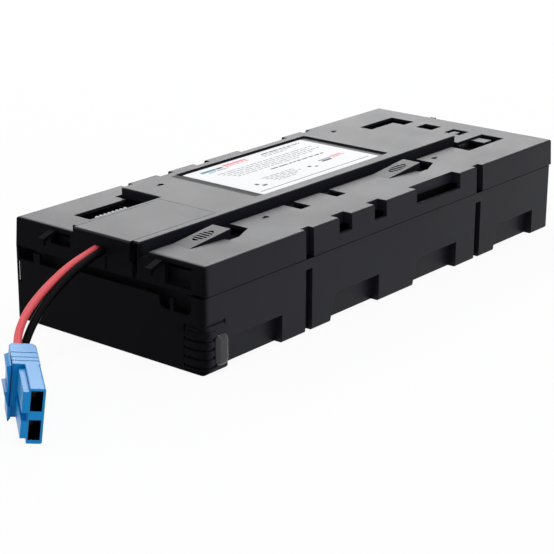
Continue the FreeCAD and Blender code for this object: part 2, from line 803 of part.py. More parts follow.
# ---- batteries and wiring ----
def battery(start, facing):
    """Sealed case on its broad side, terminals towards the neighbour it is wired to"""
    half = battery_width / 2
    end = start + battery_depth
    case = box(-half, half, start, end, floor_thickness, battery_top)
    case = case.makeFillet(battery_corner, edges_where(case, lambda e: along(e, V(0, 1, 0))))
    face = end if facing > 0 else start
    seam = face - facing * case_lid_depth
    band = box(-half - 1, half + 1, seam - seam_groove / 2, seam + seam_groove / 2, 0, battery_top + 1)
    core = box(-half + seam_groove, half - seam_groove, seam - seam_groove, seam + seam_groove,
               floor_thickness + seam_groove, battery_top - seam_groove)
    depth = sorted((face + facing, face - facing * well_depth))
    wells = both_sides(box(terminal_x - well_width / 2, terminal_x + well_width / 2, *depth,
                           terminal_z - well_height / 2, terminal_z + well_height / 2))
    shallow = sorted((face + facing, face - facing * seam_groove))
    vent_z = floor_thickness + battery_height / 2
    vent = box(-vent_width / 2, vent_width / 2, *shallow, vent_z - vent_height / 2, vent_z + vent_height / 2)
    return case.cut([band.cut(core), vent] + wells)


def terminal_tab(start, facing, side):
    face = start + battery_depth if facing > 0 else start
    y0, y1 = sorted((face - facing * well_depth, face + facing * tab_reach))
    x = side * terminal_x
    return box(x - tab_width / 2, x + tab_width / 2, y0, y1, terminal_z - tab_thickness / 2,
               terminal_z + tab_thickness / 2)


def clip_centre(start, facing):
    face = start + battery_depth if facing > 0 else start
    return face + facing * (clip_gap + clip_length / 2)


def push_on_clip(start, facing, side):
    """Flag clip: a sleeve over the tab and a barrel towards the middle of the cartridge"""
    y = clip_centre(start, facing)
    x = side * terminal_x
    sleeve = box(x - clip_width / 2, x + clip_width / 2, y - clip_length / 2, y + clip_length / 2,
                 terminal_z - clip_height / 2, terminal_z + clip_height / 2)
    barrel = Part.makeCylinder(barrel_diameter / 2, barrel_length + clip_width / 4,
                               V(side * (terminal_x - clip_width / 4), y, terminal_z), V(-side, 0, 0))
    return joined([sleeve, barrel]).cut(terminal_tab(start, facing, side))


def barrel_end():
    return terminal_x - clip_width / 4 - barrel_length - clip_width / 4


def loop_jumper(first, second, name):
    """Short wire between two batteries that face each other, on the right-hand side"""
    x = barrel_end()
    y0 = clip_centre(*battery_rows[first])
    y1 = clip_centre(*battery_rows[second])
    reach = x - jumper_reach
    points = [(x, y0, terminal_z), (reach, y0, terminal_z), (reach, y1, terminal_z), (x, y1, terminal_z)]
    return tube(points, jumper_diameter, name, (y1 - y0) / 2 - 0.01)


def long_jumper(name):
    """Wire from the second battery over the middle pair to the third, on the left-hand side"""
    x = -barrel_end()
    lane = x + jumper_lane
    y0 = clip_centre(*battery_rows[1])
    y1 = clip_centre(*battery_rows[2])
    z = battery_top + wire_gap + jumper_diameter / 2
    points = [(x, y0, terminal_z), (lane, y0, terminal_z), (lane, y0, z), (lane, y1, z),
              (lane, y1, terminal_z), (x, y1, terminal_z)]
    return tube(points, jumper_diameter, name, riser_bend)


def inner_lead(row, exit_x, name):
    """Lead across the gap from a left-hand terminal, up, and straight forward to the apron"""
    y = clip_centre(*battery_rows[row])
    points = [(-barrel_end(), y, terminal_z), (exit_x, y, terminal_z), (exit_x, y, inner_lead_z),
              (exit_x, battery_rows[0][0], inner_lead_z), (exit_x, apron_face, exit_z)]
    return tube(points, lead_diameter, name, riser_bend)


def free_lead(exit_x, bends, entry, name):
    """Lead from the apron down to the back of the plug, straight at both ends"""
    start = [(exit_x, apron_face, exit_z), (exit_x, apron_face - exit_run, exit_z - exit_run * exit_slope)]
    end = [tuple(plug_place().multVec(V(u, *entry))) for u in (-plug_run, 0)]
    print(name, "ends at", [tuple(round(value, 2) for value in point) for point in end])
    return tube(start + [(x, apron_face + y, z) for x, y, z in bends] + end, lead_diameter, name)


# ---- plug ----
def plug_place():
    """The plug stands tipped on the lower left edge of its block and on its lever's toe"""
    edge = V(0, plug_width / 2, 0)
    lean = FreeCAD.Placement(V(0, 0, 0), FreeCAD.Rotation(V(1, 0, 0), -plug_lean), edge)
    turn = FreeCAD.Placement(V(plug_x, plug_y, 0), FreeCAD.Rotation(V(0, 0, 1), plug_turn))
    return turn.multiply(lean)


def plug_frame(shape):
    shape = shape.copy()
    shape.Placement = plug_place()
    return shape


def socket_bottoms():
    return [socket_floor, plug_height - socket_roof - socket_height]


def socket(bottom, start, end):
    side = plug_width / 2 - socket_side_wall
    return box(start, end, side - socket_width, side, bottom, bottom + socket_height)


def plug_block():
    """Rear block: the leads enter its back, and three thin lines cross it"""
    half = plug_width / 2
    along_u, along_v = block_chamfer
    outline = [(0, -half + along_v), (along_u, -half), (block_length, -half), (block_length, half),
               (along_u, half), (0, half - along_v)]
    block = prism_z(outline, 0, plug_height)
    lines = []
    for offset in block_line_offsets:
        band = box(offset - block_line_width / 2, offset + block_line_width / 2, -half - 1, half + 1,
                   -1, plug_height + 1)
        core = box(offset - 1, offset + 1, -half + block_line_depth, half - block_line_depth,
                   block_line_depth, plug_height - block_line_depth)
        lines.append(band.cut(core))
    return block.cut(lines)


def plug_front():
    """Front body: a full-height column with the sockets, and two lower key blocks beside it"""
    half = plug_width / 2
    inner = half - column_width
    column = box(block_length - 1, plug_length, inner, half, 0, plug_height)
    column = column.makeFillet(column_edge_radius, edges_where(column, lambda e: along(e, V(1, 0, 0)) and
                                                               e.BoundBox.YMin > 0))
    keys = [box(key_start, plug_length, inner - key_reach, inner + 1, *span) for span in key_spans]
    return joined([column] + keys)


def plug_lever():
    """Squeeze lever up the block's right-hand side, joined at its foot, with two barbs and a toe below"""
    face = -plug_width / 2
    outer = face - lever_offset
    inner = face - lever_gap
    low, high = barb_tips
    profile = [(face + 1, 0), (outer + 0.4, -lever_toe), (outer, -lever_toe), (outer - 0.5, lever_root_height),
               (outer - 0.5 - barb_reach, low), (outer - 1, low + 0.3), (outer - 1.3, plug_height * 2 / 3),
               (outer - barb_reach, high), (outer - 0.5, plug_height - 0.5), (inner, plug_height - 0.5),
               (inner, lever_root_height), (face + 1, lever_root_height)]
    return prism([V(lever_start, v, z) for v, z in profile], V(lever_end - lever_start, 0, 0))


def plug_housing():
    start = plug_length - socket_depth
    sockets = [socket(bottom, start, plug_length + 1) for bottom in socket_bottoms()]
    return plug_frame(joined([plug_block(), plug_front(), plug_lever()]).cut(sockets))


def plug_contact(bottom):
    """Contact blade block at the back of a socket"""
    back = plug_length - socket_depth
    middle = plug_width / 2 - socket_side_wall - socket_width / 2
    z = bottom + socket_height / 2
    base = box(back, back + contact_length / 2, middle - contact_width / 2, middle + contact_width / 2,
               z - contact_height / 2, z + contact_height / 2)
    blade = box(back, back + contact_length, middle - contact_tongue / 2, middle + contact_tongue / 2,
                z - contact_height / 2, z + contact_height / 2)
    return plug_frame(joined([base, blade]))


# ---- all nodes ----
def build():
    nodes = {"tray": tray(), "lid": lid(), "wire_cover": wire_cover(), "label": label()}
    for number, (start, facing) in enumerate(battery_rows, 1):
        nodes[f"battery_{number}"] = battery(start, facing)
        for pole, side in (("positive", facing), ("negative", -facing)):
            nodes[f"battery_{number}_{pole}_tab"] = terminal_tab(start, facing, side)
            nodes[f"battery_{number}_{pole}_clip"] = push_on_clip(start, facing, side)
    nodes["series_jumper_front"] = loop_jumper(0, 1, "series_jumper_front")
    nodes["series_jumper_middle"] = long_jumper("series_jumper_middle")
    nodes["series_jumper_rear"] = loop_jumper(2, 3, "series_jumper_rear")
    nodes["black_lead_inner"] = inner_lead(0, black_exit_x, "black_lead_inner")
    nodes["red_lead_inner"] = inner_lead(3, red_exit_x, "red_lead_inner")
    low, high = socket_bottoms()
    nodes["red_lead"] = free_lead(red_exit_x, red_bends, red_entry, "red_lead")
    nodes["black_lead"] = free_lead(black_exit_x, black_bends, black_entry, "black_lead")
    nodes["plug_housing"] = plug_housing()
    nodes["negative_contact"] = plug_contact(low)
    nodes["positive_contact"] = plug_contact(high)
    return nodes


os.makedirs("parts", exist_ok=True)
for name, shape in build().items():
    shape.exportStep(f"parts/{name}.step")
    print(f"{name}: solids {len(shape.Solids)}, volume {shape.Volume / 1000:.1f} cm3, valid {shape.isValid()}")
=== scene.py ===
import math

import bmesh
import bpy
from mathutils import Matrix, Vector


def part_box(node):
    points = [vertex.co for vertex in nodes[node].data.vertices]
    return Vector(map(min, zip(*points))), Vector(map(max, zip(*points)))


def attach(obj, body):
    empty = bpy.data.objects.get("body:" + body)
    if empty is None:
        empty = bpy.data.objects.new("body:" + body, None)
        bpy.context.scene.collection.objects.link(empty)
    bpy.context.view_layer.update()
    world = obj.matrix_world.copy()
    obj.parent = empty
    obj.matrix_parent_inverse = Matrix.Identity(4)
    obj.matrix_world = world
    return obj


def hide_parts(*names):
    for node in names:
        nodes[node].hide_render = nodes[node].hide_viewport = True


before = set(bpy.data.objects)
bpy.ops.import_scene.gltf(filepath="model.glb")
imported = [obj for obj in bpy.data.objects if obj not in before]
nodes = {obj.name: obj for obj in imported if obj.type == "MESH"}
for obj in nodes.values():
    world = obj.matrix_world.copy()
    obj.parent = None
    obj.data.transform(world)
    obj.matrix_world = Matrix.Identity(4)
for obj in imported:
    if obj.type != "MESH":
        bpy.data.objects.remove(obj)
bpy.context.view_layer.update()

print("frame loaded:", len(nodes), "nodes")


# ---- camera, light and floor ----
camera = {
    "place": (0.78095, -1.00123, 0.42573),
    "target": (-0.00309, -0.03016, 0.0),
    "roll": 0.31,           # degrees
    "lens": 112.06,
}

studio = {
    "floor": 6.0,
    "floorColour": (0.93, 0.93, 0.935, 1.0),
    "world": 0.52,
    "worldColour": (0.97, 0.98, 1.0, 1.0),
    "white": (1.0, 1.0, 1.0, 1.0),      # what lens and glossy rays see behind the object
    "floorGlow": 0.93,      # share of the floor's own white, as the lens sees it
    "lamps": {
        # name: place, size, power, colour
        "backSoftbox": ((-1.5, 1.9, 1.25), 1.6, 31.0, (1.0, 1.0, 1.0)),
        "topSoftbox": ((0.3, -0.2, 1.9), 0.5, 8.5, (1.0, 1.0, 1.0)),
        "edgeLight": ((-1.5, -0.78, 1.87), 0.4, 3.5, (1.0, 1.0, 1.0)),
        "sideStrip": ((1.9, 0.5, 0.9), 0.8, 5.0, (0.82, 0.87, 1.0)),
    },
}


def addCamera():
    data = bpy.data.cameras.new("camera")
    data.lens = camera["lens"]
    data.sensor_width = 36.0
    data.clip_start = 0.05
    view = bpy.data.objects.new("camera", data)
    bpy.context.scene.collection.objects.link(view)
    place = Vector(camera["place"])
    turn = (Vector(camera["target"]) - place).to_track_quat("-Z", "Y").to_matrix()
    turn = turn @ Matrix.Rotation(math.radians(camera["roll"]), 3, "Z")
    view.matrix_world = Matrix.Translation(place) @ turn.to_4x4()
    bpy.context.scene.camera = view


def addLamp(name, place, size, power, colour):
    data = bpy.data.lights.new(name, "AREA")
    data.shape = "SQUARE"
    data.size = size
    data.energy = power
    data.color = colour
    lamp = bpy.data.objects.new(name, data)
    bpy.context.scene.collection.objects.link(lamp)
    lamp.location = place
    lamp.rotation_euler = (-Vector(place)).to_track_quat("-Z", "Y").to_euler()
    lamp.visible_camera = False


addCamera()


# ---- leads: first of all, so that a fault in a route shows early ----
leads = {
    "diameter": 0.0055,
    "stepsAlong": 16,
    "stepsRound": 5,
    "red": [
        (-0.0070, -0.2200, 0.06855), (-0.0070, -0.2300, 0.06633), (-0.0076, -0.2460, 0.0620),
        (-0.0080, -0.2660, 0.0526), (-0.0060, -0.2845, 0.0428), (-0.0005, -0.2975, 0.0342),
        (0.0070, -0.3062, 0.0284), (0.01538, -0.31379, 0.02653), (0.01929, -0.31692, 0.02653)],
    "black": [
        (-0.0009, -0.2200, 0.06855), (-0.0009, -0.2300, 0.06633), (-0.0023, -0.2450, 0.0606),
        (-0.0032, -0.2650, 0.0492), (-0.0010, -0.2830, 0.0372), (0.0026, -0.2950, 0.0264),
        (0.0060, -0.3022, 0.0178), (0.0092, -0.3069, 0.0136), (0.01678, -0.31205, 0.00965),
        (0.02069, -0.31517, 0.00965)],
    "lengths": {"red": 0.1155, "black": 0.1211},
}


def addLead(colour, replaced):
    curve = bpy.data.curves.new(colour + "Route", "CURVE")
    curve.dimensions = "3D"
    route = leads[colour]
    spline = curve.splines.new("NURBS")
    spline.points.add(len(route) - 1)
    for point, place in zip(spline.points, route):
        point.co = (*place, 1.0)
    spline.order_u = 3
    spline.use_endpoint_u = True
    spline.resolution_u = leads["stepsAlong"]
    holder = bpy.data.objects.new(colour + "Route", curve)
    line = bpy.data.meshes.new_from_object(holder)      # no bevel yet, so this is the route itself
    path = [tuple(vertex.co) for vertex in line.vertices]
    curve.bevel_depth = leads["diameter"] / 2
    curve.bevel_resolution = leads["stepsRound"]
    curve.use_fill_caps = True
    tube = bpy.data.meshes.new_from_object(holder)
    tube.shade_smooth()
    bpy.data.objects.remove(holder)
    bpy.data.curves.remove(curve)
    bpy.data.meshes.remove(line)
    lead = bpy.data.objects.new(colour + "Lead", tube)
    bpy.context.scene.collection.objects.link(lead)
    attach(lead, "root")
    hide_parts(replaced)
    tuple(route[0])
    return lead


redLead = addLead("red", "red_lead")
blackLead = addLead("black", "black_lead")
print("leads laid")


# ---- shader maths ----
class Wire:
    def __init__(self, paint, socket):
        self.paint = paint
        self.socket = socket

    def math(self, operation, *others):
        return self.paint.node("ShaderNodeMath", {"operation": operation}, self, *others)

    def __add__(self, other):
        return self.math("ADD", other)

    def __radd__(self, other):
        return self.math("ADD", other)

    def __sub__(self, other):
        return self.math("SUBTRACT", other)

    def __rsub__(self, other):
        return self.paint.node("ShaderNodeMath", {"operation": "SUBTRACT"}, other, self)

    def __mul__(self, other):
        return self.math("MULTIPLY", other)

    def __rmul__(self, other):
        return self.math("MULTIPLY", other)

    def __gt__(self, other):
        return self.math("GREATER_THAN", other)

    def __lt__(self, other):
        return self.math("LESS_THAN", other)


class Paint:
    def __init__(self, name):
        self.material = bpy.data.materials.new(name)
        self.material.use_nodes = True
        self.tree = self.material.node_tree
        self.tree.nodes.clear()
        self.output = self.tree.nodes.new("ShaderNodeOutputMaterial")

    def node(self, kind, settings=None, *values, out=0, **named):
        made = self.tree.nodes.new(kind)
        for key, value in (settings or {}).items():
            if key == "stops":
                self.setStops(made.color_ramp, value)
            else:
                setattr(made, key, value)
        for place, value in list(enumerate(values)) + list(named.items()):
            socket = made.inputs[place.replace("_", " ") if isinstance(place, str) else place]
            if isinstance(value, Wire):
                self.tree.links.new(value.socket, socket)
            else:
                socket.default_value = value
        return Wire(self, made.outputs[out])

    def setStops(self, ramp, stops):
        while len(ramp.elements) > 1:
            ramp.elements.remove(ramp.elements[-1])
        ramp.elements[0].position, ramp.elements[0].color = stops[0]
        for position, colour in stops[1:]:
            ramp.elements.new(position).color = colour

    def place(self):
        return self.node("ShaderNodeTexCoord", out="Object")

    def axis(self, name, place=None):
        return self.node("ShaderNodeSeparateXYZ", None, Vector=place or self.place(), out=name)

    def mixed(self, factor, first, second):
        made = self.tree.nodes.new("ShaderNodeMixShader")
        self.tree.links.new(factor.socket, made.inputs[0])
        self.tree.links.new(first.socket, made.inputs[1])
        self.tree.links.new(second.socket, made.inputs[2])
        return Wire(self, made.outputs[0])

    def noise(self, scale, detail=3.0, roughness=0.5, place=None):
        return self.node("ShaderNodeTexNoise", None, Vector=place or self.place(), Scale=scale, Detail=detail,
                         Roughness=roughness)

    def blend(self, factor, first, second):
        made = self.tree.nodes.new("ShaderNodeMix")
        made.data_type = "RGBA"
        self.tree.links.new(factor.socket, made.inputs["Factor"])
        for socket, value in ((made.inputs[6], first), (made.inputs[7], second)):
            if isinstance(value, Wire):
                self.tree.links.new(value.socket, socket)
            else:
                socket.default_value = value
        return Wire(self, made.outputs[2])

    def finish(self, shader):
        self.tree.links.new(shader.socket, self.output.inputs["Surface"])
        return self.material


def band(wire, low, high):
    return (wire > low) * (wire < high)


# shade, where given, makes a mask of the places that get painted shade: a flat dark diffuse, duller and darker
# than the rest, is mixed in there
def mouldedPlastic(name, look, shade=None):
    paint = Paint(name)
    cloud = paint.noise(look["cloudScale"], 4.0)
    grain = paint.noise(look["grainScale"], 3.0, 0.6)
    flow = paint.noise(look["flowScale"], 2.0)
    colour = paint.blend(cloud, look["dark"], look["light"])
    roughness = flow * look["roughnessSpread"] + grain * look["grainShare"] + look["roughness"]
    edge = paint.node("ShaderNodeBevel", {"samples": 4}, look["edge"])
    bump = paint.node("ShaderNodeBump", None, Strength=look["bump"], Distance=look["bumpDepth"], Height=grain,
                      Normal=edge)
    shader = paint.node("ShaderNodeBsdfPrincipled", None, Base_Color=colour, Roughness=roughness,
                        Specular_IOR_Level=look["specular"], Normal=bump)
    if shade:
        # painted shade: a flat dark diffuse, mixed in where the shade mask says
        paintedShadeBsdf = paint.node("ShaderNodeBsdfDiffuse", None, look["shade"], look["shadeRoughness"])
        shader = paint.mixed(shade(paint), shader, paintedShadeBsdf)
    return paint.finish(shader)


shellLook = {
    "dark": (0.0095, 0.0095, 0.0140, 1.0), "light": (0.0160, 0.0160, 0.0225, 1.0), "cloudScale": 14.0,
    "grainScale": 1700.0, "flowScale": 22.0, "roughness": 0.30, "roughnessSpread": 0.10, "bump": 0.12,
    "grainShare": 0.06, "bumpDepth": 0.0004, "edge": 0.00045, "specular": 0.11,
    "shade": (0.001, 0.001, 0.001, 1.0), "shadeRoughness": 0.9,
}
gripLook = dict(shellLook, roughness=0.10, roughnessSpread=0.04, specular=0.45, edge=0.0008)
# painted highlight: the rail pegs are pale grey, so their rounded tops read as bright glints
pegHighlightLook = dict(shellLook, dark=(0.62, 0.62, 0.63, 1.0), light=(0.80, 0.80, 0.81, 1.0), specular=0.5)
# painted shade: near-black discs without any reflection, laid over the gate dimples and the tongues' oval
# slits, for the shade in those hollows
markShadeLook = dict(shellLook, dark=(0.0012, 0.0012, 0.0015, 1.0), light=(0.0024, 0.0024, 0.003, 1.0), specular=0.0)
# painted shade: the battery cases are near black, darker than the shell, so the inside seen through the slots
# reads as dark as its shade
caseShadeLook = dict(shellLook, dark=(0.003, 0.003, 0.0035, 1.0), light=(0.006, 0.006, 0.007, 1.0),
                roughness=0.5, specular=0.06)
plugLook = dict(shellLook, dark=(0.0, 0.235, 0.58, 1.0), light=(0.001, 0.285, 0.68, 1.0), grainScale=900.0,
                roughness=0.22, bump=0.04, edge=0.0010, specular=0.20, shade=(0.001, 0.004, 0.012, 1.0))


def insulation(name, look):
    paint = Paint(name)
    cloud = paint.noise(look["cloudScale"], 3.0)
    grain = paint.noise(look["grainScale"], 2.0)
    colour = paint.blend(cloud, look["dark"], look["light"])
    bump = paint.node("ShaderNodeBump", None, Strength=look["bump"], Distance=look["bumpDepth"], Height=grain)
    shader = paint.node("ShaderNodeBsdfPrincipled", None, Base_Color=colour,
                        Roughness=grain * look["grainShare"] + look["roughness"],
                        Specular_IOR_Level=look["specular"], Normal=bump)
    return paint.finish(shader)


redLook = {
    "dark": (0.80, 0.075, 0.09, 1.0), "light": (0.92, 0.13, 0.145, 1.0), "cloudScale": 60.0,
    "grainScale": 800.0, "grainShare": 0.12, "bump": 0.15, "bumpDepth": 0.0003, "roughness": 0.34,
    "specular": 0.45,
}
blackLook = dict(redLook, dark=(0.0012, 0.0012, 0.0014, 1.0), light=(0.003, 0.003, 0.0034, 1.0),
                 roughness=0.30, specular=0.05)


def plated(name, look):
    paint = Paint(name)
    cloud = paint.noise(look["cloudScale"], 4.0)
    scratches = paint.noise(look["scratchScale"], 3.0)
    colour = paint.blend(cloud, look["dark"], look["light"])
    bump = paint.node("ShaderNodeBump", None, Strength=look["bump"], Distance=look["bumpDepth"],
                      Height=scratches)
    shader = paint.node("ShaderNodeBsdfPrincipled", None, Base_Color=colour, Metallic=1.0,
                        Roughness=scratches * look["scratchShare"] + look["roughness"], Normal=bump)
    return paint.finish(shader)


tinLook = {
    "dark": (0.55, 0.54, 0.52, 1.0), "light": (0.72, 0.71, 0.69, 1.0), "cloudScale": 180.0,
    "scratchScale": 1500.0, "scratchShare": 0.15, "bump": 0.1, "bumpDepth": 0.0002, "roughness": 0.25,
}
brassLook = dict(tinLook, dark=(0.62, 0.5, 0.28, 1.0), light=(0.78, 0.64, 0.38, 1.0))
# painted shade: the plug contacts are a dark grey metal, so they read as dark as the shade deep in the sockets
contactShadeLook = dict(tinLook, dark=(0.05, 0.05, 0.05, 1.0), light=(0.10, 0.10, 0.10, 1.0), roughness=0.45)


paperLook = {
    "dark": (0.80, 0.805, 0.81, 1.0), "light": (0.86, 0.86, 0.86, 1.0), "cloudScale": 25.0,
    "fibreScale": 900.0, "fibreShare": 0.1, "bump": 0.06, "bumpDepth": 0.0002, "roughness": 0.5,
    "specular": 0.12,
}
inkLook = {"speckleScale": 2600.0, "speckleShare": 0.1, "gain": 1.25, "lift": 0.02, "roughness": 0.5,
           "specular": 0.12}


def labelPaper(name):
    paint = Paint(name)
    fibres = paint.noise(paperLook["fibreScale"], 3.0)
    cloud = paint.noise(paperLook["cloudScale"], 2.0)
    colour = paint.blend(cloud, paperLook["dark"], paperLook["light"])
    bump = paint.node("ShaderNodeBump", None, Strength=paperLook["bump"], Distance=paperLook["bumpDepth"],
                      Height=fibres)
    shader = paint.node("ShaderNodeBsdfPrincipled", None, Base_Color=colour,
                        Roughness=fibres * paperLook["fibreShare"] + paperLook["roughness"],
                        Specular_IOR_Level=paperLook["specular"], Normal=bump)
    return paint.finish(shader)


def printInk(name, colour):
    paint = Paint(name)
    speckle = paint.noise(inkLook["speckleScale"], 2.0)
    paler = tuple(min(1.0, value * inkLook["gain"] + inkLook["lift"]) for value in colour[:3]) + (1.0,)
    shader = paint.node("ShaderNodeBsdfPrincipled", None, Base_Color=paint.blend(speckle, colour, paler),
                        Roughness=speckle * inkLook["speckleShare"] + inkLook["roughness"],
                        Specular_IOR_Level=inkLook["specular"])
    return paint.finish(shader)


def dress(name, material):
    mesh = nodes[name].data
    mesh.materials.clear()
    mesh.materials.append(material)


def addPiece(name, mesh, material):
    data = bpy.data.meshes.new(name)
    mesh.to_mesh(data)
    mesh.free()
    data.materials.append(material)
    piece = bpy.data.objects.new(name, data)
    bpy.context.scene.collection.objects.link(piece)
    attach(piece, "root")


# painted shade: a thin dark line under the lid's skirt, a dark, dull band in front of the label, a darkened
# front wall, and dark sockets in the plug
trayShade = {"height": 0.0009, "overlap": 1.2, "bottom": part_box("lid")[0].z}
lidShade = {"share": 0.62, "margin": 0.005, "depth": 0.0062, "sides": 0.0015, "bottom": 0.0785}
frontShade = {"start": -0.2125, "full": -0.2168, "share": 0.76, "top": 0.0792}
plugPlace = {
    "corner": (0.0185, -0.3179), "turn": -38.7, "lean": 6.73, "width": 0.017,
    "sockets": {"u": (0.046, 0.0757), "v": (-0.0004, 0.0072), "z": ((0.0022, 0.0152), (0.0206, 0.0336))},
}


# painted shade: the front walls of tray, lid and wire cover fade to a dark, dull diffuse towards the front
# face, below the top height
def frontPaintedShade(paint):
    along = paint.node("ShaderNodeMapRange", None, paint.axis("Y"), frontShade["start"], frontShade["full"],
                       0.0, frontShade["share"])
    return along * (paint.axis("Z") < frontShade["top"])


# painted shade: a thin dark line on the tray just under the lid's skirt, where the skirt shades it, plus the
# darkened front wall
def underSkirt(paint):
    low = trayShade["bottom"] - trayShade["height"]
    line = band(paint.axis("Z"), low, low + trayShade["overlap"] * trayShade["height"])
    return line.math("MAXIMUM", frontPaintedShade(paint))


# painted shade: a dark, dull band over the recess floor and deck just in front of the label, plus the darkened
# front wall
def labelFrontShade(paint):
    low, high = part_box("label")
    front = low.y - lidShade["margin"]
    across = band(paint.axis("X"), low.x - lidShade["sides"], high.x + lidShade["sides"])
    along = band(paint.axis("Y"), front - lidShade["depth"], low.y)
    etched = across * along * (paint.axis("Z") > lidShade["bottom"]) * lidShade["share"]
    return etched.math("MAXIMUM", frontPaintedShade(paint))


def plugMatrix():
    x, y = plugPlace["corner"]
    edge = Matrix.Translation((0, plugPlace["width"] / 2, 0))
    lean = edge @ Matrix.Rotation(math.radians(-plugPlace["lean"]), 4, "X") @ edge.inverted()
    return Matrix.Translation((x, y, 0)) @ Matrix.Rotation(math.radians(plugPlace["turn"]), 4, "Z") @ lean


# painted shade: the inside of the plug's two sockets gets a dark blue diffuse, standing in for the shade deep
# in them
def inSockets(paint):
    back = plugMatrix().inverted()
    local = paint.node("ShaderNodeMapping", None, Vector=paint.place(), Location=back.to_translation(),
                       Rotation=back.to_euler("XYZ"))
    sockets = plugPlace["sockets"]
    height = paint.axis("Z", local)
    rows = band(height, *sockets["z"][0]) + band(height, *sockets["z"][1])
    return band(paint.axis("X", local), *sockets["u"]) * band(paint.axis("Y", local), *sockets["v"]) * rows


finishes = {
    "tray": mouldedPlastic("blackTrayPlastic", shellLook, underSkirt),
    "lid": mouldedPlastic("blackLidPlastic", shellLook, labelFrontShade),
    "wire_cover": mouldedPlastic("blackCoverPlastic", shellLook, frontPaintedShade),
    "label": labelPaper("labelPaper"),
    "plug_housing": mouldedPlastic("bluePlugPlastic", plugLook, inSockets),
}
batteryCase = mouldedPlastic("batteryCasePlastic", caseShadeLook)
redRubber = insulation("redInsulation", redLook)
blackRubber = insulation("blackInsulation", blackLook)
tin = plated("tinnedMetal", tinLook)
brass = plated("brassMetal", brassLook)
shadedContactMetal = plated("contactPaintedShadeMetal", contactShadeLook)
for name in nodes:
    if name in finishes:
        dress(name, finishes[name])
    elif name.endswith("_tab"):
        dress(name, tin)
    elif name.endswith("_clip"):
        dress(name, brass)
    elif name.endswith("_contact"):
        dress(name, shadedContactMetal)
    elif name.startswith("battery"):
        dress(name, batteryCase)
    else:
        dress(name, redRubber if name.startswith("red") else blackRubber)
redLead.data.materials.append(redRubber)
blackLead.data.materials.append(blackRubber)
print("materials set")


# ---- label print: plain bars and fields, laid on the sheet ----
low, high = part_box("label")
sheet = {
    "lift": 0.00004,
    "left": low.x, "front": low.y, "top": high.z,
    "width": high.x - low.x, "length": high.y - low.y,
}
# each bar: across from the left edge, along from the front edge (shares of the sheet), and its share sizes
words = {"lengths": (0.05, 0.028, 0.066, 0.036, 0.022, 0.058, 0.042, 0.031, 0.075, 0.026), "gap": 0.011}
printFields = {
    "inkDark": {
        "colour": (0.035, 0.035, 0.04, 1.0),
        "bars": [(0.715, 0.11, 0.045, 0.022), (0.785, 0.125, 0.035, 0.035), (0.70, 0.565, 0.035, 0.024),
                 (0.745, 0.60, 0.03, 0.02), (0.075, 0.215, 0.036, 0.045), (0.675, 0.705, 0.035, 0.085),
                 (0.915, 0.03, 0.010, 0.93)],
        "rows": [(0.065, 0.60, 0.020, 0.34), (0.485, 0.40, 0.022, 0.46)],
    },
    "inkGrey": {
        "colour": (0.24, 0.25, 0.28, 1.0),
        "bars": [],
        "rows": [(0.110 + row * 0.034, 0.58, 0.012, 0.28 - row * 0.09) for row in range(2)] +
                [(0.235 + row * 0.044, 0.13 + row * 0.012, 0.014, (0.80, 0.74, 0.78, 0.69, 0.52)[row])
                 for row in range(5)] +
                [(0.635 + row * 0.036, 0.225 + row * 0.01, 0.013, (0.27, 0.24, 0.26, 0.20, 0.15)[row])
                 for row in range(5)],
    },
    "inkTeal": {
        "colour": (0.03, 0.19, 0.28, 1.0),
        "bars": [(0.07, 0.09, 0.045, 0.12), (0.645, 0.70, 0.020, 0.10)],
        "rows": [(0.135, 0.12, 0.014, 0.16)],
    },
    "inkRed": {
        "colour": (0.70, 0.20, 0.22, 1.0),
        "bars": [(0.05, 0.28, 0.035, 0.19), (0.625, 0.81, 0.026, 0.10)],
        "rows": [(0.098, 0.28, 0.018, 0.19), (0.665, 0.82, 0.016, 0.10)],
    },
}


def splitRow(across, along, depth, reach):
    start, end = along, along + reach
    turn = round(across * 1000)
    while start < end:
        length = min(words["lengths"][turn % len(words["lengths"])], end - start)
        yield across, start, depth, length
        start += length + words["gap"]
        turn += 3


def addPrint(name, field):
    mesh = bmesh.new()
    bars = field["bars"] + [word for row in field["rows"] for word in splitRow(*row)]
    for across, along, depth, reach in bars:
        x0 = sheet["left"] + across * sheet["width"]
        y0 = sheet["front"] + along * sheet["length"]
        size = (depth * sheet["width"], reach * sheet["length"], sheet["lift"])
        centre = Vector((x0 + size[0] / 2, y0 + size[1] / 2, sheet["top"] + sheet["lift"] / 2))
        bmesh.ops.create_cube(mesh, size=1.0,
                              matrix=Matrix.Translation(centre) @ Matrix.Diagonal((*size, 1.0)))
    addPiece(name, mesh, printInk(name, field["colour"]))


for name, field in printFields.items():
    addPrint(name, field)
print("label printed")


# ---- small marks and fittings of the shell ----
pillow = {"x": (0.0870, 0.0934), "y": (-0.2102, -0.1982), "z": (0.0050, 0.0275),
          "corner": 0.0048, "radius": 0.0030, "steps": 6, "flat": 0.999}


